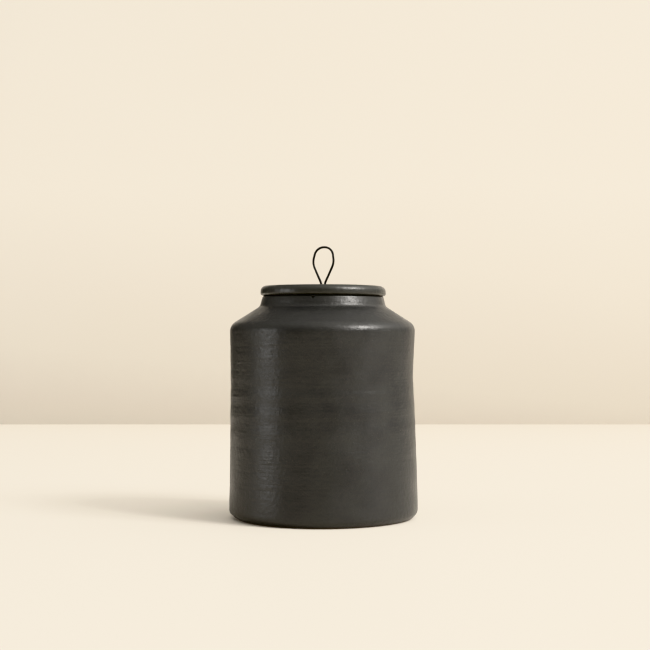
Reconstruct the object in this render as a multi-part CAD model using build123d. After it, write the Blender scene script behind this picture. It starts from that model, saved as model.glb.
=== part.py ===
from build123d import *
import os

# Empty candle jar: a wheel-thrown stoneware jar with a flat lid and a bent-wire loop to lift it by.
# Millimetres, +Z up. The origin is where the jar's axis meets the surface that it stands on.

# Jar, outside
body_diameter = 102.2  # across the flare just above the foot, the widest place
waist_inset = 1.95  # the waist, the narrowest place, stands in from the flare on the radius
shoulder_inset = 1.2  # the wall's upper corner, likewise
jar_height = 119.4  # foot to the top of the rim
neck_height = 5.7  # rim above the corner where the neck meets the cone
cone_rise = 10.1  # the cone, from the wall's corner up to the neck's corner
waist_drop = 27.6  # the waist, below the wall's upper corner
foot_flare_height = 9.5  # the wall's widest place, above the surface
foot_bevel_height = 3.2
foot_bevel_width = 2.6
neck_flare = 1.5  # the neck is this much wider at its base than at the rim, on the radius

# Jar, inside and underneath
wall = 5.0
floor_thickness = 6.0
mouth_diameter = 56.0
rim_thickness = 4.5
foot_ring_width = 5.5
foot_recess = 1.8

# Lid
lid_overhang = 1.4  # past the rim, on the radius
lid_thickness = 5.5
flange_depth = 6.5  # the locating ring that hangs inside the mouth
flange_thickness = 3.6
flange_clearance = 1.0  # on the radius, as loose as a thrown lid is

# Wire loop
wire_diameter = 1.3
leg_gap = 0.55  # between the two legs, in the lid's hole
loop_width = 11.5  # between the wire's centrelines
loop_height = 20.8  # the lid's top to the centreline of the crown
bow_drop = 8.6  # the widest place, below the crown
crown_taper = 1.45  # the crown's corners stand in from the widest place, on each side
leg_rise = 1.9  # straight legs above the lid, before they spread
tail_length = 8.0
hole_clearance = 0.3  # round the pair of legs, on the radius
tail_clearance = 0.45  # between the tails and the lid's underside

# Roundings
rim_rounding = 1.1
neck_rounding = 2.6
shoulder_rounding = 7.0
waist_rounding = 400.0
flare_rounding = 60.0
foot_rounding = 1.6
inside_rounding = 6.0
floor_rounding = 9.0
foot_ring_rounding = 0.8
lid_top_rounding = 2.7
lid_edge_rounding = 2.2
flange_rounding = 0.8
hole_rounding = 0.5
tail_bend = 1.3
leg_bend = 8.0
bow_bend = 9.0
crown_bend = 4.5

# Places that follow from the sizes
foot_radius = body_diameter / 2
waist_radius = foot_radius - waist_inset
shoulder_radius = foot_radius - shoulder_inset
mouth_radius = mouth_diameter / 2
rim_radius = mouth_radius + rim_thickness
neck_radius = rim_radius + neck_flare
neck_z = jar_height - neck_height
shoulder_z = neck_z - cone_rise
waist_z = shoulder_z - waist_drop
standing_radius = foot_radius - foot_bevel_width
lid_radius = rim_radius + lid_overhang
lid_top = jar_height + lid_thickness
flange_radius = mouth_radius - flange_clearance
leg_x = (wire_diameter + leg_gap) / 2
hole_radius = leg_x + wire_diameter / 2 + hole_clearance


def turned(*corners):
    """A solid of revolution about Z, from its section's corners as (radius, height, rounding)."""
    points = [(radius, height) for radius, height, _ in corners]
    roundings = [rounding for _, _, rounding in corners]
    outline = FilletPolyline(*points, radius=roundings, close=True)
    return revolve(make_face(Plane.XZ * outline), Axis.Z)


def make_jar_body():
    """The thrown pot: a foot ring, a wall with a slight waist, a cone and a short neck."""
    ring_inner_radius = standing_radius - foot_ring_width
    floor_top = foot_recess + floor_thickness
    # The cone's inside runs parallel to its outside, one wall thickness in.
    cone_width = shoulder_radius - neck_radius
    cone_length = (cone_width**2 + cone_rise**2) ** 0.5
    inner_shoulder_radius = shoulder_radius - wall
    inner_shoulder_z = shoulder_z - wall * (cone_length - cone_rise) / cone_width
    throat_z = inner_shoulder_z + (inner_shoulder_radius - mouth_radius) * cone_rise / cone_width
    return turned(
        (0, foot_recess, 0),
        (ring_inner_radius, foot_recess, foot_ring_rounding),
        (ring_inner_radius, 0, foot_ring_rounding),
        (standing_radius, 0, foot_rounding),
        (foot_radius, foot_bevel_height, foot_rounding),
        (foot_radius, foot_flare_height, flare_rounding),
        (waist_radius, waist_z, waist_rounding),
        (shoulder_radius, shoulder_z, shoulder_rounding),
        (neck_radius, neck_z, neck_rounding),
        (rim_radius, jar_height, rim_rounding),
        (mouth_radius, jar_height, rim_rounding),
        (mouth_radius, throat_z, neck_rounding),
        (inner_shoulder_radius, inner_shoulder_z, inside_rounding),
        (waist_radius - wall, waist_z, waist_rounding),
        (foot_radius - wall, floor_top, floor_rounding),
        (0, floor_top, 0),
    )


def make_lid():
    """A flat disc with a bull-nosed edge, a locating ring below and a hole for the wire."""
    flange_inner_radius = flange_radius - flange_thickness
    flange_bottom = jar_height - flange_depth
    return turned(
        (hole_radius, jar_height, hole_rounding),
        (flange_inner_radius, jar_height, flange_rounding),
        (flange_inner_radius, flange_bottom, flange_rounding),
        (flange_radius, flange_bottom, flange_rounding),
        (flange_radius, jar_height, flange_rounding),
        (lid_radius, jar_height, lid_edge_rounding),
        (lid_radius, lid_top, lid_top_rounding),
        (hole_radius, lid_top, hole_rounding),
    )


def make_wire_loop():
    """One bent wire: tail, leg through the lid, teardrop bow, second leg and second tail."""
    tail_z = jar_height - tail_clearance - wire_diameter / 2
    crown_z = lid_top + loop_height
    bow_x = loop_width / 2
    tail_end_x = leg_x + tail_length
    corners = [
        (leg_x, tail_z, tail_bend),
        (leg_x, lid_top + leg_rise, leg_bend),
        (bow_x, crown_z - bow_drop, bow_bend),
        (bow_x - crown_taper, crown_z, crown_bend),
    ]
    right_side = [(x, z) for x, z, _ in corners]
    left_side = [(-x, z) for x, z in reversed(right_side)]
    bends = [bend for _, _, bend in corners]
    points = [(tail_end_x, tail_z), *right_side, *left_side, (-tail_end_x, tail_z)]
    centreline = Plane.XZ * FilletPolyline(*points, radius=bends + bends[::-1])
    section = Plane(centreline @ 0, z_dir=centreline % 0) * Circle(wire_diameter / 2)
    return sweep(section, path=centreline)


nodes = {
    "jar_body": make_jar_body(),
    "lid": make_lid(),
    "wire_loop": make_wire_loop(),
}

os.makedirs("parts", exist_ok=True)
for name, shape in nodes.items():
    export_step(shape, f"parts/{name}.step")
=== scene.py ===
import math

import bmesh
import bpy
import numpy as np
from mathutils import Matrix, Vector


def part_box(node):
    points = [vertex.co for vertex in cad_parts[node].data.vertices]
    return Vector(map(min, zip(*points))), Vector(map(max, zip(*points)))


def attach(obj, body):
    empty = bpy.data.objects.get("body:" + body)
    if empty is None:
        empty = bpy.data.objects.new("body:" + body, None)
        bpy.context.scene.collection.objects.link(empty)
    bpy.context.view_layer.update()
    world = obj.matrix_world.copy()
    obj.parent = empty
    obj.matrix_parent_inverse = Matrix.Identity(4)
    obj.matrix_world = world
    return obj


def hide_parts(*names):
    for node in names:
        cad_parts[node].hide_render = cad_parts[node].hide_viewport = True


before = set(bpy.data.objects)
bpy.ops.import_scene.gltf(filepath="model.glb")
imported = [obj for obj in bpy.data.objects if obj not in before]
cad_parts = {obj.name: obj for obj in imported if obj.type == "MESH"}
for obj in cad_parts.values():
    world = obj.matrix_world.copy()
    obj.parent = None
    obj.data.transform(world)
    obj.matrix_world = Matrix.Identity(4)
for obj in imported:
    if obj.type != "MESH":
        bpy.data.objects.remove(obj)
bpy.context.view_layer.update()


# ---------------------------------------------------------------------------------------------
# Table, wall, windows and camera
# A cream table against a cream plastered board, lit by a large warm window high on the right and
# a small white one low on the left. The camera stands level, about as high as the jar's shoulder.
# ---------------------------------------------------------------------------------------------

# The room and the camera, in metres but for the lens.
CAMERA_DISTANCE, CAMERA_HEIGHT, CAMERA_ASIDE = 0.783, 0.1021, 0.001
TABLE_HALF_WIDTH, TABLE_FRONT = 1.1, -1.2
WALL_BEHIND = 0.75
WALL_LEFT, WALL_RIGHT, WALL_TOP = -0.39, 0.75, 0.56
LIT_PLACE = (0, 0, 0.06)  # the jar's middle, which the windows face
LENS_MM = 80.3
VIEW_SHIFT_UP = 0.0046

# The paint's patterns, in millimetres.
MM = 0.001
CLOUD_WIDTH = 200
STIPPLE_WIDTH = 1.43
STIPPLE_DEPTH = 0.1

# The glows that make up the rest of the room's light: the way to each, and how bright it is.
GLOWS = (((0.7, 0, 0.7), 1.9), ((-0.7, 0, 0.7), 0.8), ((0, -0.7, 0.7), 0.62))
GLOW_TIGHTNESS = 3.0
ROOM_AS_SEEN = 0.85


def linear(hex_colour):
    """An sRGB hex colour as linear red, green, blue and alpha."""
    channels = [int(hex_colour[start : start + 2], 16) / 255 for start in (1, 3, 5)]
    return [
        channel / 12.92 if channel <= 0.04045 else ((channel + 0.055) / 1.055) ** 2.4
        for channel in channels
    ] + [1.0]


def node(owner, kind, inputs=None, **settings):
    """Adds one shader node to a material or a world. An input is named or numbered, and is a value
    or the socket that feeds it."""
    tree = owner.node_tree
    made = tree.nodes.new("ShaderNode" + kind)
    for key, value in settings.items():
        setattr(made, key, value)
    for key, value in (inputs or {}).items():
        if isinstance(value, bpy.types.NodeSocket):
            tree.links.new(value, made.inputs[key])
        else:
            made.inputs[key].default_value = value
    return made


def new_material(name):
    """A material with no shader yet, and the place on its surface in millimetres, for its patterns."""
    material = bpy.data.materials.new(name)
    material.use_nodes = True
    material.node_tree.nodes.clear()
    place = node(material, "TexCoord").outputs["Object"]
    in_mm = node(material, "Mapping", {"Vector": place, "Scale": (1000, 1000, 1000)}).outputs[0]
    return material, in_mm


def painted_plaster(name, low, dark, light, fade_height, roughness):
    """Matt cream paint on plaster: soft clouds a hand wide, the roller's faint stipple, and painted shade,
    another tone towards the bottom, up to a height in millimetres."""
    material, in_mm = new_material(name)
    clouds = node(material, "TexNoise", {"Vector": in_mm, "Scale": 1 / CLOUD_WIDTH, "Detail": 2.0})
    coat = node(
        material, "Mix", {0: clouds.outputs[0], 6: linear(dark), 7: linear(light)}, data_type="RGBA"
    ).outputs[2]
    height = node(material, "SeparateXYZ", {"Vector": in_mm}).outputs["Z"]
    # Painted shade: the share of the coat's colour, rising from the low tone at the bottom to full at the
    # fade height.
    thickness = node(
        material, "MapRange", {"Value": height, "From Min": 0.0, "From Max": fade_height}
    ).outputs[0]
    colour = node(
        material, "Mix", {0: thickness, 6: linear(low), 7: coat}, data_type="RGBA"
    ).outputs[2]
    stipple = node(
        material, "TexNoise", {"Vector": in_mm, "Scale": 1 / STIPPLE_WIDTH, "Detail": 2.0}
    ).outputs[0]
    bump = node(
        material, "Bump", {"Height": stipple, "Distance": STIPPLE_DEPTH * MM, "Strength": 0.5}
    ).outputs[0]
    shader = node(
        material, "BsdfPrincipled", {"Base Color": colour, "Roughness": roughness, "Normal": bump}
    )
    node(material, "OutputMaterial", {"Surface": shader.outputs[0]})
    return material


def flat_panel(name, corners, material):
    """One flat face of the surroundings, which isn't part of the object."""
    mesh = bpy.data.meshes.new(name)
    mesh.from_pydata(corners, [], [range(len(corners))])
    mesh.materials.append(material)
    panel = bpy.data.objects.new(name, mesh)
    bpy.context.scene.collection.objects.link(panel)


def window(name, bearing, rise, distance, width, height, watts, colour):
    """An area light that faces the jar's middle. Its bearing is in degrees to the right of the
    camera, and its rise in degrees above level."""
    across = math.radians(bearing)
    up = math.radians(rise)
    towards = Vector((math.sin(across) * math.cos(up), -math.cos(across) * math.cos(up), math.sin(up)))
    light = bpy.data.lights.new(name, "AREA")
    light.shape = "RECTANGLE"
    light.size = width
    light.size_y = height
    light.energy = watts
    light.color = linear(colour)[:3]
    lamp = bpy.data.objects.new(name, light)
    lamp.location = Vector(LIT_PLACE) + towards * distance
    lamp.rotation_euler = (-towards).to_track_quat("-Z", "Y").to_euler()
    bpy.context.scene.collection.objects.link(lamp)


table_corners = [
    (-TABLE_HALF_WIDTH, TABLE_FRONT, 0),
    (TABLE_HALF_WIDTH, TABLE_FRONT, 0),
    (TABLE_HALF_WIDTH, WALL_BEHIND, 0),
    (-TABLE_HALF_WIDTH, WALL_BEHIND, 0),
]
wall_corners = [
    (WALL_LEFT, WALL_BEHIND, 0),
    (WALL_RIGHT, WALL_BEHIND, 0),
    (WALL_RIGHT, WALL_BEHIND, WALL_TOP),
    (WALL_LEFT, WALL_BEHIND, WALL_TOP),
]
# The table has one even tone, and the wall darkens with painted shade over its lowest quarter of a metre.
table_paint = painted_plaster("PaintedTable", "#eee8de", "#eee8de", "#eee8de", 100, 0.6)
wall_paint = painted_plaster("PaintedPlasterWall", "#bdb7ad", "#e6e0d6", "#e9e4db", 250, 0.8)
flat_panel("table", table_corners, table_paint)
flat_panel("wall", wall_corners, wall_paint)

window(
    "key_window", bearing=60, rise=36, distance=3.0, width=1.1, height=0.9, watts=96, colour="#fffbf6"
)
window(
    "side_window", bearing=-71, rise=8, distance=1.3, width=0.42, height=0.5, watts=3.1, colour="#ffffff"
)

# The rest of the room glows softly: brightest high at the right, under half of that high at the
# left, and dimmest high behind the camera. Past the table and the wall it is seen as a pale tone.
world = bpy.data.worlds.new("SoftRoomLight")
world.use_nodes = True
world.node_tree.nodes.clear()
direction = node(world, "TexCoord").outputs["Generated"]
room_light = 0.0
for side, brightness in GLOWS:
    facing = node(world, "VectorMath", {0: direction, 1: side}, operation="DOT_PRODUCT").outputs["Value"]
    ahead = node(world, "Math", {0: facing, 1: 0.0}, operation="MAXIMUM").outputs[0]
    glow = node(world, "Math", {0: ahead, 1: GLOW_TIGHTNESS}, operation="POWER").outputs[0]
    room_light = node(
        world, "Math", {0: glow, 1: brightness, 2: room_light}, operation="MULTIPLY_ADD"
    ).outputs[0]
seen = node(world, "LightPath").outputs["Is Camera Ray"]
strength = node(world, "Mix", {0: seen, 2: room_light, 3: ROOM_AS_SEEN}, data_type="FLOAT").outputs[0]
background = node(world, "Background", {"Color": linear("#fffaf1"), "Strength": strength})
node(world, "OutputWorld", {"Surface": background.outputs[0]})
bpy.context.scene.world = world
# A tone curve made for products: their colours stay true, and only the brightest tones are eased.
bpy.context.scene.view_settings.view_transform = "Khronos PBR Neutral"

camera_data = bpy.data.cameras.new("camera")
camera_data.lens = LENS_MM
camera_data.shift_y = VIEW_SHIFT_UP
camera = bpy.data.objects.new("camera", camera_data)
camera.location = (CAMERA_ASIDE, -CAMERA_DISTANCE, CAMERA_HEIGHT)
camera.rotation_euler = (math.radians(90), 0, 0)
bpy.context.scene.collection.objects.link(camera)
bpy.context.scene.camera = camera


# ---------------------------------------------------------------------------------------------
# Jar body
# One piece of stoneware, thrown on a wheel, its foot turned when leather-hard, dipped in a satin
# charcoal glaze and fired. The foot and the top of the rim are wiped clean, so that neither sticks.
# ---------------------------------------------------------------------------------------------

# Sizes, in millimetres.
jar_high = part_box("jar_body")[1]
BODY_RADIUS = jar_high.x / MM
JAR_HEIGHT = jar_high.z / MM
FOOT_BEVEL_WIDTH, FOOT_BEVEL_HEIGHT = 2.6, 3.2
FLARE_HEIGHT = 9.5  # the widest place
WAIST_INSET, WAIST_DROP = 1.95, 27.6  # the narrowest place, in from the flare and below the shoulder
SHOULDER_INSET, CONE_RISE = 1.2, 10.1
NECK_HEIGHT, NECK_FLARE = 5.7, 1.5
MOUTH_RADIUS, RIM_THICKNESS = 28.0, 4.5
WALL, FLOOR, FOOT_RECESS, FOOT_RING = 5.0, 6.0, 1.8, 5.5
INNER_SHOULDER_DROP, THROAT_RISE = 2.7, 10.7  # the cone's inside, parallel to its outside
RING_ROUNDING, FOOT_ROUNDING, BEVEL_ROUNDING = 0.8, 1.6, 5
FLARE_ROUNDING, WAIST_ROUNDING, SHOULDER_ROUNDING = 60, 400, 6
NECK_ROUNDING, RIM_ROUNDING, FLOOR_ROUNDING = 2.6, 1.1, 9

# Places that follow from them.
WAIST_RADIUS = BODY_RADIUS - WAIST_INSET
SHOULDER_RADIUS = BODY_RADIUS - SHOULDER_INSET
STANDING_RADIUS = BODY_RADIUS - FOOT_BEVEL_WIDTH
RING_INSIDE = STANDING_RADIUS - FOOT_RING
RIM_RADIUS = MOUTH_RADIUS + RIM_THICKNESS
NECK_Z = JAR_HEIGHT - NECK_HEIGHT
SHOULDER_Z = NECK_Z - CONE_RISE
WAIST_Z = SHOULDER_Z - WAIST_DROP
FLOOR_Z = FOOT_RECESS + FLOOR

# Marks of the hand, in millimetres.
OUTER_SPIRAL_PITCH = 10.4
INNER_SPIRAL_PITCH, INNER_SPIRAL_DEPTH = 8.3, 0.22
FLOOR_SPIRAL_PITCH, FLOOR_SPIRAL_DEPTH, BUTTON_RISE = 7.5, 0.22, 0.5
TURNING_PITCH, TURNING_DEPTH = 2.6, 0.06
GROOVE_Z, GROOVE_DEPTH = 70.6, 0.11
RIDGE_Z, RIDGE_RISE = 66.8, 0.08
UPPER_LINE_Z, UPPER_LINE_DEPTH = 91.5, 0.06
DENT_Z, DENT_DEPTH = 77, 0.30
FOOT_DRAWN_IN, BEVEL_CUT_HEIGHT, RIM_DIP = 0.26, 3.0, 0.14

# The glaze's and the clay's patterns, in millimetres.
POOL_WIDTH, PEEL_WIDTH = 14, 2.4
GRIT_WIDTH, GRIT_DEPTH = 0.7, 0.06
PINHOLE_SPACING, PINHOLE_DEPTH = 2.6, 0.1
LINE_LENGTH, LINE_HEIGHT, LINE_DEPTH = 30, 1.5, 0.12
KILN_PATCH_WIDTH, GROG_WIDTH = 12, 0.9
SAND_WIDTH, SAND_DEPTH = 0.45, 0.12

# How finely the meshes are cut, round the axis and, in millimetres, along the section.
COLUMNS = 272
FINE_STEP, COARSE_STEP = 0.75, 2.0


def rounded(corners, step):
    """Points about a step apart along straight runs joined by arcs. A corner is (x, y, rounding)."""
    points = [np.array(corners[0][:2], float)]

    def run_to(end):
        start = points[-1]
        count = max(1, math.ceil(np.linalg.norm(end - start) / step))
        points.extend(start + (end - start) * k / count for k in range(1, count + 1))

    for before, (x, y, rounding), after in zip(corners, corners[1:], corners[2:]):
        corner = np.array((x, y), float)
        into = corner - before[:2]
        into /= np.linalg.norm(into)
        onward = np.array(after[:2]) - corner
        onward /= np.linalg.norm(onward)
        turn = math.acos(np.clip(into @ onward, -1, 1))
        run_to(corner - into * rounding * math.tan(turn / 2))
        inward = (onward - into) / np.linalg.norm(onward - into)
        centre = corner + inward * rounding / math.cos(turn / 2)
        spoke = points[-1] - centre
        left = np.sign(into[0] * onward[1] - into[1] * onward[0])
        count = max(3, math.ceil(rounding * turn / step))
        for k in range(1, count + 1):
            angle = left * turn * k / count
            cos, sin = math.cos(angle), math.sin(angle)
            points.append(centre + (cos * spoke[0] - sin * spoke[1], sin * spoke[0] + cos * spoke[1]))
    run_to(np.array(corners[-1][:2], float))
    return np.array(points)


def bump_at(value, middle, width):
    """1 at the middle, falling smoothly to 0 a few widths away."""
    return np.exp(-(((value - middle) / width) ** 2))


def around(angle, middle, width):
    """The same round the jar, with its middle and width in degrees: 0 is the right, -90 the front."""
    away = (angle - math.radians(middle) + math.pi) % (2 * math.pi) - math.pi
    return np.exp(-((away / math.radians(width)) ** 2))


def on_surface(radius, angle, height):
    """A place in millimetres, its angle in degrees."""
    return (
        radius * math.cos(math.radians(angle)),
        radius * math.sin(math.radians(angle)),
        height,
    )


def mesh_of_rings(name, x, y, z, ends, materials):
    """A piece made of rings of points, one row each, in millimetres. Its last ring can meet its first
    (joined), its first and last rows can each be one point (points), or each be a flat end (flat)."""
    places = np.stack([x, y, z], axis=-1).reshape(-1, 3) * MM
    rows = np.arange(x.size).reshape(x.shape)
    first, last = rows[0], rows[-1]
    if ends == "joined":
        rows = np.concatenate([rows, rows[:1]])
    if ends == "points":
        rows = rows[1:-1]
    beside = np.roll(rows, -1, axis=1)
    quads = np.stack([rows[:-1], beside[:-1], beside[1:], rows[1:]], axis=-1).reshape(-1, 4)
    faces = quads.tolist()
    if ends == "points":
        faces += [(first[0], there, here) for here, there in zip(rows[0], beside[0])]
        faces += [(here, there, last[0]) for here, there in zip(rows[-1], beside[-1])]
    if ends == "flat":
        faces += [first[::-1].tolist(), last.tolist()]
    mesh = bpy.data.meshes.new(name)
    mesh.from_pydata(places, [], faces)
    for material in materials:
        mesh.materials.append(material)
    cleaned = bmesh.new()
    cleaned.from_mesh(mesh)
    loose = [vert for vert in cleaned.verts if not vert.link_faces]
    bmesh.ops.delete(cleaned, geom=loose, context="VERTS")
    bmesh.ops.recalc_face_normals(cleaned, faces=cleaned.faces)
    cleaned.to_mesh(mesh)
    cleaned.free()
    mesh.shade_smooth()
    piece = bpy.data.objects.new(name, mesh)
    bpy.context.scene.collection.objects.link(piece)
    return piece


def wipe_clean(piece, is_bare):
    """Gives a piece its second material, the bare clay, where is_bare(reach, height) says so."""
    for face in piece.data.polygons:
        middle = face.center / MM
        face.material_index = int(is_bare(math.hypot(middle.x, middle.y), middle.z))


def press_pits(piece, pits):
    """Sinks small round pits into a piece. A pit is its place, its radius and its depth, in
    millimetres. The mesh is cut finer round a pit first, and finer still in it."""
    margin = 0.9 * MM
    edited = bmesh.new()
    edited.from_mesh(piece.data)
    for place, radius, depth in pits:
        middle = Vector(place) * MM
        reach = radius * MM
        for cuts, spread in ((1, 2.0), (2, 1.1)):
            near = [
                edge
                for edge in edited.edges
                if (edge.verts[0].co - middle).length < reach * spread + margin
                and (edge.verts[1].co - middle).length < reach * spread + margin
            ]
            bmesh.ops.subdivide_edges(edited, edges=near, cuts=cuts, use_grid_fill=True)
        edited.normal_update()
        for vert in edited.verts:
            away = (vert.co - middle).length / reach
            if away < 1:
                vert.co -= vert.normal * depth * MM * (1 - away**2) ** 2
    edited.to_mesh(piece.data)
    edited.free()
    piece.data.shade_smooth()


def satin_charcoal_glaze(name, dark, light, ior, roughness, peel_depth):
    """Satin magnesium glaze, charcoal from iron and manganese. It shines as softly as eggshell, its shine
    broken up by the throwing lines under it, its orange peel, pinholes and grit. The pinholes are sunk by
    a bump and darkened with painted shade. The pinholes and the grit are drawn about three times as wide
    as they are, so that they show."""
    material, in_mm = new_material(name)
    pooling = node(
        material, "TexNoise", {"Vector": in_mm, "Scale": 1 / POOL_WIDTH, "Detail": 4.0}
    ).outputs[0]
    cloud = node(
        material, "MapRange", {"Value": pooling, "From Min": 0.3, "From Max": 0.7}
    ).outputs[0]
    pooled = node(
        material, "Mix", {0: cloud, 6: linear(dark), 7: linear(light)}, data_type="RGBA"
    ).outputs[2]
    from_pinhole = node(
        material, "TexVoronoi", {"Vector": in_mm, "Scale": 1 / PINHOLE_SPACING}
    ).outputs["Distance"]
    pinhole_and_shade = node(
        material,
        "MapRange",
        {"Value": from_pinhole, "From Min": 0.04, "From Max": 0.13, "To Min": 0.6, "To Max": 0.0},
    ).outputs[0]
    # Painted shade: the pinholes' colour is darkened to near black, for the shade inside them.
    colour = node(
        material, "Mix", {0: pinhole_and_shade, 6: pooled, 7: linear("#1c1b1a")}, data_type="RGBA"
    ).outputs[2]

    # The throwing lines are much longer round the pot than they are high.
    line_scale = (1 / LINE_LENGTH, 1 / LINE_LENGTH, 1 / LINE_HEIGHT)
    line_place = node(material, "Mapping", {"Vector": in_mm, "Scale": line_scale}).outputs[0]
    lines = node(material, "TexNoise", {"Vector": line_place, "Scale": 1.0, "Detail": 3.0}).outputs[0]
    peel = node(material, "TexNoise", {"Vector": in_mm, "Scale": 1 / PEEL_WIDTH, "Detail": 2.0}).outputs[0]
    grit = node(material, "TexNoise", {"Vector": in_mm, "Scale": 1 / GRIT_WIDTH, "Detail": 3.0}).outputs[0]
    bump = node(material, "Bump", {"Height": lines, "Distance": LINE_DEPTH * MM}).outputs[0]
    bump = node(
        material, "Bump", {"Height": peel, "Distance": peel_depth * MM, "Normal": bump}
    ).outputs[0]
    bump = node(
        material, "Bump", {"Height": grit, "Distance": GRIT_DEPTH * MM, "Normal": bump}
    ).outputs[0]
    bump = node(
        material, "Bump", {"Height": pinhole_and_shade, "Distance": PINHOLE_DEPTH * MM, "Normal": bump}, invert=True
    ).outputs[0]

    # Its roughness varies by 0.05 either way, with the pools and the grit.
    dullness = node(material, "Mix", {0: 0.5, 2: cloud, 3: grit}, data_type="FLOAT").outputs[0]
    dullest, glossiest = roughness + 0.05, roughness - 0.05
    satin = node(
        material,
        "MapRange",
        {"Value": dullness, "From Min": 0.3, "From Max": 0.7, "To Min": glossiest, "To Max": dullest},
    ).outputs[0]
    shader = node(
        material,
        "BsdfPrincipled",
        {"Base Color": colour, "Roughness": satin, "IOR": ior, "Normal": bump},
    )
    node(material, "OutputMaterial", {"Surface": shader.outputs[0]})
    return material


def bare_dark_stoneware(name):
    """Dark stoneware clay, fired bare: dry and gritty, patchy from the kiln, with pale specks of grog."""
    material, in_mm = new_material(name)
    patches = node(
        material, "TexNoise", {"Vector": in_mm, "Scale": 1 / KILN_PATCH_WIDTH, "Detail": 4.0}
    ).outputs[0]
    clay = node(
        material, "Mix", {0: patches, 6: linear("#3a332c"), 7: linear("#554b40")}, data_type="RGBA"
    ).outputs[2]
    from_grog = node(
        material, "TexVoronoi", {"Vector": in_mm, "Scale": 1 / GROG_WIDTH}
    ).outputs["Distance"]
    grog = node(
        material,
        "MapRange",
        {"Value": from_grog, "From Min": 0.1, "From Max": 0.22, "To Min": 0.6, "To Max": 0.0},
    ).outputs[0]
    colour = node(
        material, "Mix", {0: grog, 6: clay, 7: linear("#776b5c")}, data_type="RGBA"
    ).outputs[2]
    sand = node(material, "TexNoise", {"Vector": in_mm, "Scale": 1 / SAND_WIDTH, "Detail": 4.0}).outputs[0]
    bump = node(material, "Bump", {"Height": sand, "Distance": SAND_DEPTH * MM}).outputs[0]
    shader = node(
        material, "BsdfPrincipled", {"Base Color": colour, "Roughness": 0.9, "IOR": 1.5, "Normal": bump}
    )
    node(material, "OutputMaterial", {"Surface": shader.outputs[0]})
    return material


def jar_section():
    """The jar's section as turned true, from its axis under the foot, out, over the rim and back to
    its axis inside: the points underneath, outside and inside, whose ends meet."""
    foot_seam = (STANDING_RADIUS - FOOT_RING / 2, 0, 0)
    rim_seam = (MOUTH_RADIUS + RIM_THICKNESS / 2, JAR_HEIGHT, 0)
    inner_shoulder_z = SHOULDER_Z - INNER_SHOULDER_DROP
    underneath = [
        (0, FOOT_RECESS, 0),
        (RING_INSIDE, FOOT_RECESS, RING_ROUNDING),
        (RING_INSIDE, 0, RING_ROUNDING),
        foot_seam,
    ]
    outside = [
        foot_seam,
        (STANDING_RADIUS, 0, FOOT_ROUNDING),
        (BODY_RADIUS, FOOT_BEVEL_HEIGHT, BEVEL_ROUNDING),
        (BODY_RADIUS, FLARE_HEIGHT, FLARE_ROUNDING),
        (WAIST_RADIUS, WAIST_Z, WAIST_ROUNDING),
        (SHOULDER_RADIUS, SHOULDER_Z, SHOULDER_ROUNDING),
        (RIM_RADIUS + NECK_FLARE, NECK_Z, NECK_ROUNDING),
        (RIM_RADIUS, JAR_HEIGHT, RIM_ROUNDING),
        rim_seam,
    ]
    inside = [
        rim_seam,
        (MOUTH_RADIUS, JAR_HEIGHT, RIM_ROUNDING),
        (MOUTH_RADIUS, inner_shoulder_z + THROAT_RISE, NECK_ROUNDING),
        (SHOULDER_RADIUS - WALL, inner_shoulder_z, SHOULDER_ROUNDING),
        (WAIST_RADIUS - WALL, WAIST_Z, WAIST_ROUNDING),
        (BODY_RADIUS - WALL, FLOOR_Z, FLOOR_ROUNDING),
        (0, FLOOR_Z, 0),
    ]
    return (
        rounded(underneath, COARSE_STEP / 2),
        rounded(outside, FINE_STEP),
        rounded(inside, COARSE_STEP),
    )


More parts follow.
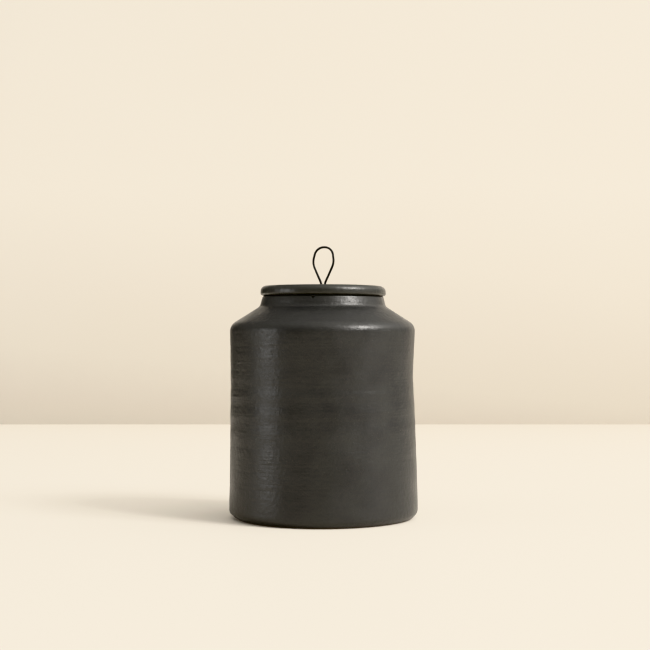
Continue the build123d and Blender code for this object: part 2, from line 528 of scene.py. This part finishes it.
def make_jar(materials):
    """The jar as turned true, and then the marks that hands left on it."""
    underneath, outside, inside = jar_section()
    outline = np.concatenate([underneath, outside[1:], inside[1:]])
    # Each row of points is in one stretch: 0 underneath, 1 outside, 2 inside.
    stretch = np.repeat([0, 1, 2], [len(underneath), len(outside) - 1, len(inside) - 1])[:, None]
    angle = np.linspace(0, 2 * math.pi, COLUMNS, endpoint=False)[None, :]
    radius = outline[:, 0:1] + 0 * angle
    height = outline[:, 1:2] + 0 * angle
    out = (stretch == 1).astype(float)
    # The inside's marks stop short of the rim's flat top.
    within = (stretch == 2) * (height < JAR_HEIGHT)
    under = 1 - out - within
    on_wall = np.clip((radius - 5) / 10, 0, 1)
    # What moves the outside fades out across the foot ring, so that the clay never folds.
    ring_share = np.clip((radius - RING_INSIDE) / FOOT_RING, 0, 1)
    outer = np.where(height < 5, ring_share, out)

    # The potter's fingers left a spiral about a centimetre apart, deeper inside than outside. In
    # front is a groove over a ridge, three fifths of the way up, and a line runs round above them.
    spiral = np.sin(2 * math.pi * height / OUTER_SPIRAL_PITCH - angle + 0.7 * np.sin(height / 13))
    firmness = 0.018 + 0.05 * bump_at(height, 60, 20)
    below_shoulder = bump_at(height, 52, 40) * (height < 100)
    in_front = out * around(angle, -85, 60)
    groove_z = GROOVE_Z + 0.4 * np.sin(angle + 1)
    radius -= outer * below_shoulder * firmness * spiral
    radius -= GROOVE_DEPTH * in_front * bump_at(height, groove_z, 2.3)
    radius += RIDGE_RISE * in_front * bump_at(height, RIDGE_Z, 2.6)
    radius -= UPPER_LINE_DEPTH * out * bump_at(height, UPPER_LINE_Z, 2.2)
    inner_spiral = np.sin(2 * math.pi * height / INNER_SPIRAL_PITCH - angle)
    radius += INNER_SPIRAL_DEPTH * within * on_wall * (height > 12) * inner_spiral

    # The pot is a little out of round, drawn in a hair near the foot, and dented at the right by
    # the hand that lifted it off. It leans too: to the right at the foot, and to the left higher up.
    radius += on_wall * (0.10 * np.sin(2 * angle + 0.2) + 0.06 * np.sin(3 * angle))
    radius -= DENT_DEPTH * out * around(angle, 0, 38) * bump_at(height, DENT_Z, 9)
    radius -= FOOT_DRAWN_IN * outer * bump_at(height, 4, 30)
    lean_x = 0.25 * bump_at(height, 4, 34) - 0.55 * bump_at(height, 80, 32)
    lean_y = 0.30 * bump_at(height, 40, 30) - 0.25 * bump_at(height, 100, 20)

    # The foot's bevel was cut deeper at the front right, and most at the left. The rim dips a hair
    # in two places.
    cut = 1.0 * around(angle, -40, 55) + 1.8 * around(angle, -160, 50) + 0.2 * np.sin(5 * angle)
    radius -= outer * np.clip(cut, 0, 2) * np.clip(1 - height / BEVEL_CUT_HEIGHT, 0, 1)
    dips = 0.5 + 0.5 * np.cos(2 * angle + 1)
    height = height - RIM_DIP * dips * bump_at(height, JAR_HEIGHT, 1.5)

    # The turning tool left fine lines under the foot, and the sponge left the rim's inner edge a
    # hair uneven. The fingers left a spiral on the floor inside, which rises to a button.
    turned = np.sin(2 * math.pi * radius / TURNING_PITCH + angle)
    turned *= TURNING_DEPTH * under * (radius < RING_INSIDE - 1)
    coiled = np.sin(2 * math.pi * radius / FLOOR_SPIRAL_PITCH + angle) * np.clip(radius / 6, 0, 1)
    coiled *= FLOOR_SPIRAL_DEPTH * within * (height < FLOOR_Z + 1.5)
    button = BUTTON_RISE * within * bump_at(radius, 0, 5) * (height < FLOOR_Z + 2)
    height = height + turned + coiled + button

    off_axis = np.clip(radius / 5, 0, 1)
    x = radius * np.cos(angle) + lean_x * off_axis
    y = radius * np.sin(angle) + lean_y * off_axis
    return mesh_of_rings("jar", x, y, height, "points", materials)


def is_wiped_jar(reach, height):
    """Where the jar is bare: the ring that it stands on and the top of its rim."""
    on_foot = height < 0.7 and reach < STANDING_RADIUS - 0.2
    on_rim = height > JAR_HEIGHT - 0.32 and MOUTH_RADIUS + 0.8 < reach < RIM_RADIUS - 0.7
    return on_foot or on_rim


jar_glaze = satin_charcoal_glaze(
    "SatinCharcoalGlaze", "#2a2b2c", "#303131", ior=1.5, roughness=0.38, peel_depth=0.18
)
bare_clay = bare_dark_stoneware("BareDarkStoneware")
jar = make_jar([jar_glaze, bare_clay])
wipe_clean(jar, is_wiped_jar)
# A deep pit at the front, just under the rim, and a shallow nick low on the wall.
jar_pits = [
    (on_surface(32.5, -99.3, 118.5), 1.15, 1.9),
    (on_surface(49.9, -75.7, 30), 0.9, 0.18),
]
press_pits(jar, jar_pits)
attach(jar, "jar")
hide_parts("jar_body")


# ---------------------------------------------------------------------------------------------
# Lid
# A thrown stoneware disc with a bull-nosed edge. The ring thrown on its underside drops into the
# mouth and keeps it central. Dipped in the same charcoal, thinner and so a little greener.
# ---------------------------------------------------------------------------------------------

# Sizes, in millimetres.
lid_low, lid_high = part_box("lid")
LID_RADIUS = lid_high.x / MM
LID_TOP = lid_high.z / MM
FLANGE_BOTTOM = lid_low.z / MM
FLANGE_RADIUS, FLANGE_THICKNESS = 27.0, 3.6
HOLE_RADIUS = 1.875
LOWER_EDGE_ROUNDING, UPPER_EDGE_ROUNDING = 1.3, 3.0
FLANGE_ROUNDING, HOLE_ROUNDING = 0.8, 0.5
LID_SPIRAL_PITCH, LID_SPIRAL_DEPTH = 5.2, 0.035
TOP_FALL, UNDERSIDE_SAG, UNDERSIDE_LIFT, EDGE_WANDER = 0.4, 0.22, 0.12, 0.05


def lid_section():
    """The lid's section, down its hole, out under it and round its edge, back to the hole."""
    flange_inside = FLANGE_RADIUS - FLANGE_THICKNESS
    hole_middle = (JAR_HEIGHT + LID_TOP) / 2
    corners = [
        (HOLE_RADIUS, hole_middle, 0),
        (HOLE_RADIUS, JAR_HEIGHT, HOLE_ROUNDING),
        (flange_inside, JAR_HEIGHT, FLANGE_ROUNDING),
        (flange_inside, FLANGE_BOTTOM, FLANGE_ROUNDING),
        (FLANGE_RADIUS, FLANGE_BOTTOM, FLANGE_ROUNDING),
        (FLANGE_RADIUS, JAR_HEIGHT, FLANGE_ROUNDING),
        (LID_RADIUS, JAR_HEIGHT, LOWER_EDGE_ROUNDING),
        (LID_RADIUS, LID_TOP, UPPER_EDGE_ROUNDING),
        (HOLE_RADIUS, LID_TOP, HOLE_ROUNDING),
        (HOLE_RADIUS, hole_middle + FINE_STEP, 0),
    ]
    return rounded(corners, FINE_STEP)


def make_lid(materials):
    """The lid as turned true, and then the marks that hands left on it."""
    outline = lid_section()
    angle = np.linspace(0, 2 * math.pi, COLUMNS, endpoint=False)[None, :]
    radius = outline[:, 0:1] + 0 * angle
    height = outline[:, 1:2] + 0 * angle
    edge = np.clip((radius - FLANGE_RADIUS) / 4, 0, 1)
    above_seat = np.clip((height - JAR_HEIGHT) / 2, 0, 1)

    # The top falls a hair towards its right edge, with the throwing spiral on it, and the edge
    # wanders in and out.
    fall = TOP_FALL * around(angle, 5, 50) * np.clip((radius - 26) / 6, 0, 1) ** 2 * above_seat
    spiral = np.sin(2 * math.pi * radius / LID_SPIRAL_PITCH + angle) * np.clip((radius - 4) / 6, 0, 1)
    height = height - fall + above_seat * LID_SPIRAL_DEPTH * (spiral - 1) * (radius < 30)
    radius = radius - edge * EDGE_WANDER * (1 + np.sin(2 * angle + 2.6))

    # Past the jar's rim, the underside hangs a little at the right and is higher at the left.
    past_rim = np.clip((radius - (RIM_RADIUS - RIM_ROUNDING)) / 1.2, 0, 1)
    sag = UNDERSIDE_SAG * around(angle, -5, 55) - UNDERSIDE_LIFT * around(angle, 185, 50)
    height = height - past_rim * sag * np.clip((JAR_HEIGHT + 2.4 - height) / 2, 0, 1)
    return mesh_of_rings(
        "lid_disc", radius * np.cos(angle), radius * np.sin(angle), height, "joined", materials
    )


def is_wiped_lid(reach, height):
    """Where the lid is bare: the seat that rests on the rim, and the outside of the ring below it."""
    return height < JAR_HEIGHT + 0.1 and FLANGE_RADIUS - 2.5 < reach < LID_RADIUS - 2.2


lid_glaze = satin_charcoal_glaze(
    "ThinCharcoalGlaze", "#272826", "#2e2f2d", ior=1.58, roughness=0.35, peel_depth=0.2
)
lid = make_lid([lid_glaze, bare_clay])
wipe_clean(lid, is_wiped_lid)
# Pinholes round the edge, and one on top.
lid_pits = [
    (on_surface(33.3, -54.6, 121.2), 0.5, 0.35),
    (on_surface(33.1, -66, 120.3), 0.4, 0.3),
    (on_surface(33.3, -62, 121.9), 0.35, 0.25),
    (on_surface(33.2, 75, 121.0), 0.5, 0.35),
    (on_surface(33.3, 160, 121.8), 0.4, 0.3),
    (on_surface(18.0, -130, 124.5), 0.45, 0.3),
]
press_pits(lid, lid_pits)
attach(lid, "lid")
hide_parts("lid")


# ---------------------------------------------------------------------------------------------
# Wire loop
# One length of black annealed iron wire, bent by hand round a peg. Both legs go down through the
# lid's hole, and the tails are bent apart underneath, so that it turns freely but can't pull out.
# ---------------------------------------------------------------------------------------------

# Sizes, in millimetres. The two sides are as unlike as a hand leaves them.
loop_low, loop_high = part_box("wire_loop")
WIRE_RADIUS = (loop_high.y - loop_low.y) / 2 / MM
CROWN_Z = loop_high.z / MM - WIRE_RADIUS
TAIL_Z = loop_low.z / MM + WIRE_RADIUS
TAIL_END = loop_high.x / MM - 0.1  # snipped a hair short
LEG_X = 0.925
RIGHT_BOW_X, RIGHT_BOW_DROP = 5.85, 8.4  # the widest place, from the middle and below the crown
LEFT_BOW_X, LEFT_BOW_DROP = -5.75, 8.6
RIGHT_CROWN_X, LEFT_CROWN_X = 4.75, -3.5
RIGHT_LEG_RISE, LEFT_LEG_RISE = 1.3, 1.1  # straight above the lid, before the legs spread
TAIL_BEND, LEG_BEND, BOW_BEND = 1.3, 5, 9
RIGHT_CROWN_BEND, LEFT_CROWN_BEND = 4.4, 5.2
SNIPPED_END = 0.72  # the cutters squeeze the ends to this share of the thickness
WAVER = 0.22  # how far the bow strays from its plane
SCALE_PATCH_WIDTH, PITTING_WIDTH, PITTING_DEPTH = 1.6, 0.25, 0.02
ROUND_THE_WIRE = 24
ALONG_THE_WIRE = 0.2


def black_annealed_iron(name):
    """Iron wire annealed in the coil: a black oxide scale, so only slightly metallic, dull in some
    patches and sheeny in others, with a rub of bare metal here and there. Its fine pitting is drawn
    some five times as wide as it is, so that it shows."""
    material, in_mm = new_material(name)
    scale = node(
        material, "TexNoise", {"Vector": in_mm, "Scale": 1 / SCALE_PATCH_WIDTH, "Detail": 4.0}
    ).outputs[0]
    black = node(
        material, "Mix", {0: scale, 6: linear("#050505"), 7: linear("#0e0e0e")}, data_type="RGBA"
    ).outputs[2]
    rubbed = node(
        material, "MapRange", {"Value": scale, "From Min": 0.68, "From Max": 0.8, "To Max": 0.6}
    ).outputs[0]
    colour = node(
        material, "Mix", {0: rubbed, 6: black, 7: linear("#242322")}, data_type="RGBA"
    ).outputs[2]
    sheen = node(material, "MapRange", {"Value": scale, "To Min": 0.38, "To Max": 0.62}).outputs[0]
    pitting = node(
        material, "TexNoise", {"Vector": in_mm, "Scale": 1 / PITTING_WIDTH, "Detail": 3.0}
    ).outputs[0]
    bump = node(material, "Bump", {"Height": pitting, "Distance": PITTING_DEPTH * MM}).outputs[0]
    shader = node(
        material,
        "BsdfPrincipled",
        {"Base Color": colour, "Metallic": 0.15, "Roughness": sheen, "Normal": bump},
    )
    node(material, "OutputMaterial", {"Surface": shader.outputs[0]})
    return material


def loop_path():
    """The wire's centreline in the loop's own plane, from the right tail round to the left one."""
    corners = [
        (TAIL_END, TAIL_Z, 0),
        (LEG_X, TAIL_Z, TAIL_BEND),
        (LEG_X, LID_TOP + RIGHT_LEG_RISE, LEG_BEND),
        (RIGHT_BOW_X, CROWN_Z - RIGHT_BOW_DROP, BOW_BEND),
        (RIGHT_CROWN_X, CROWN_Z, RIGHT_CROWN_BEND),
        (LEFT_CROWN_X, CROWN_Z, LEFT_CROWN_BEND),
        (LEFT_BOW_X, CROWN_Z - LEFT_BOW_DROP, BOW_BEND),
        (-LEG_X, LID_TOP + LEFT_LEG_RISE, LEG_BEND),
        (-LEG_X, TAIL_Z, TAIL_BEND),
        (-TAIL_END, TAIL_Z, 0),
    ]
    return rounded(corners, ALONG_THE_WIRE)


def make_wire_loop(materials):
    """The round wire along its path, a little uneven, with its two snipped ends."""
    path = loop_path()
    along = np.gradient(path, axis=0)
    along /= np.linalg.norm(along, axis=1)[:, None]
    side = np.stack([-along[:, 1], along[:, 0]], axis=1)
    travelled = np.arange(len(path)) * ALONG_THE_WIRE

    # Above the lid the bow wavers out of its plane, and its thickness varies a little all along.
    above_lid = np.clip((path[:, 1] - LID_TOP) / 8, 0, 1)
    waver = WAVER * above_lid * np.sin(travelled / 6.5)
    evenness = 0.975 + 0.02 * np.sin(travelled / 3.1) + 0.015 * np.sin(travelled / 1.3 + 1)
    thickness = WIRE_RADIUS * evenness
    thickness[[0, -1]] *= SNIPPED_END

    rolled = np.linspace(0, 2 * math.pi, ROUND_THE_WIRE, endpoint=False)[None, :]
    sideways = thickness[:, None] * np.cos(rolled)
    x = path[:, 0:1] + side[:, 0:1] * sideways
    y = waver[:, None] + thickness[:, None] * np.sin(rolled)
    z = path[:, 1:2] + side[:, 1:2] * sideways
    return mesh_of_rings("bent_wire", x, y, z, "flat", materials)


wire = make_wire_loop([black_annealed_iron("BlackAnnealedIron")])
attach(wire, "loop")
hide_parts("wire_loop")
